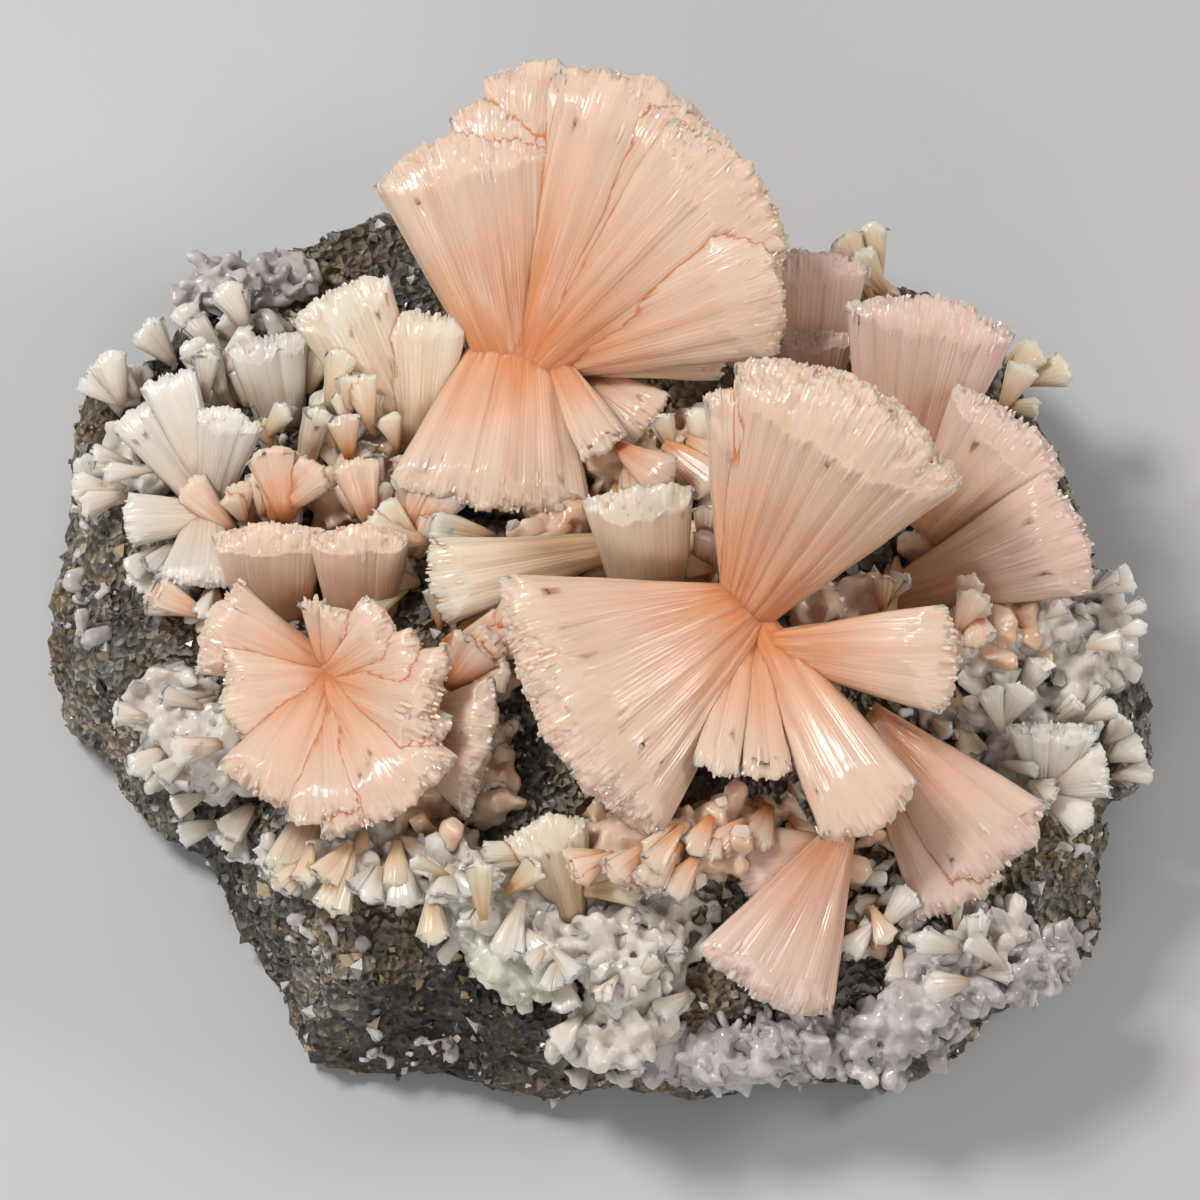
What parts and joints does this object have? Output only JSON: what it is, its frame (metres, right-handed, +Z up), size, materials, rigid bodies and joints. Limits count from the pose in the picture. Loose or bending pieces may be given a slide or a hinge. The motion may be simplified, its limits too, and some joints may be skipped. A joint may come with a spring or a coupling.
{
  "type": "stilbite specimen on basalt",
  "caption": "Peach bow-tie and fan-shaped stilbite crystal groups with white druse on a rough, flat-bottomed lump of dark basalt.",
  "frame": {"origin": "middle of the bounding box in plan, on the flat broken underside", "axes": "+Z up from the underside, +X along the longest extent, -Y towards the front edge, from which the crystals are seen"},
  "size_m": [0.1232, 0.1062, 0.0545],
  "materials": {
    "peach_stilbite": "satin",
    "pink_stilbite": "satin",
    "cream_stilbite": "satin",
    "white_druse": "satin",
    "greenish_druse": "satin",
    "basalt": "matte"
  },
  "bodies": {
    "root": {"basalt_matrix": "basalt", "bead_cluster": "white_druse", "central_bow_tie": "peach_stilbite", "cream_cluster": "cream_stilbite", "cream_sheaf": "cream_stilbite", "front_druse": "white_druse", "front_fan": "pink_stilbite", "front_rim_druse": "white_druse", "left_druse": "white_druse", "left_spray": "white_druse", "lower_left_rosette": "peach_stilbite", "middle_druse": "white_druse", "middle_left_tufts": "peach_stilbite", "pale_blade": "cream_stilbite", "pale_lumps": "greenish_druse", "rear_fan": "pink_stilbite", "right_druse": "white_druse", "right_fan": "pink_stilbite", "right_front_druse": "white_druse", "right_front_fan": "pink_stilbite", "right_rear_sheaf": "pink_stilbite", "right_spray": "white_druse", "rosette_foot_lumps": "white_druse", "rounded_lump": "greenish_druse", "top_left_crust": "white_druse", "upper_bow_tie": "peach_stilbite", "upper_left_sheaf": "cream_stilbite", "upright_crystal": "white_druse", "upright_sheaf": "cream_stilbite", "white_tuft": "white_druse"}
  },
  "joints": []
}
